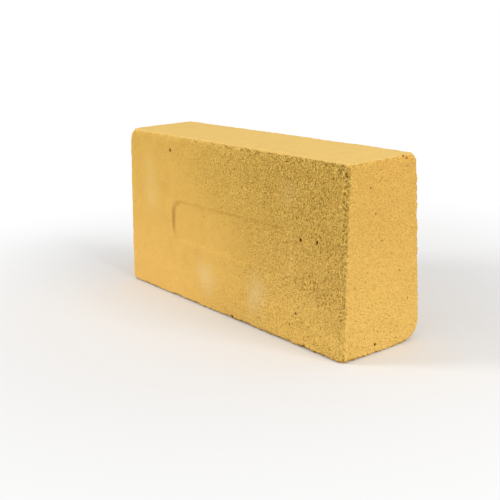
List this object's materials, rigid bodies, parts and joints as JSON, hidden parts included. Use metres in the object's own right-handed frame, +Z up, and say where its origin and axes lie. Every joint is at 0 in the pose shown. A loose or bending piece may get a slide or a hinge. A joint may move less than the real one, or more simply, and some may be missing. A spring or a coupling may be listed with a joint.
{
  "type": "refractory firebrick",
  "caption": "Tapered fireclay arch brick standing on its thick long edge, large faces leaning in towards the crown, with a shallow bare stamp panel on one of them.",
  "frame": {"origin": "middle of the base, the thick long edge that the brick stands on", "axes": "+X along the length, +Y through the thickness from the stamped bed face to the plain one, +Z up from the base to the crown"},
  "size_m": [0.23, 0.0648, 0.114],
  "materials": {
    "fireclay": "matte fired clay, ochre yellow with fine grog and open pores"
  },
  "bodies": {
    "root": {"firebrick": "fireclay"}
  },
  "joints": []
}
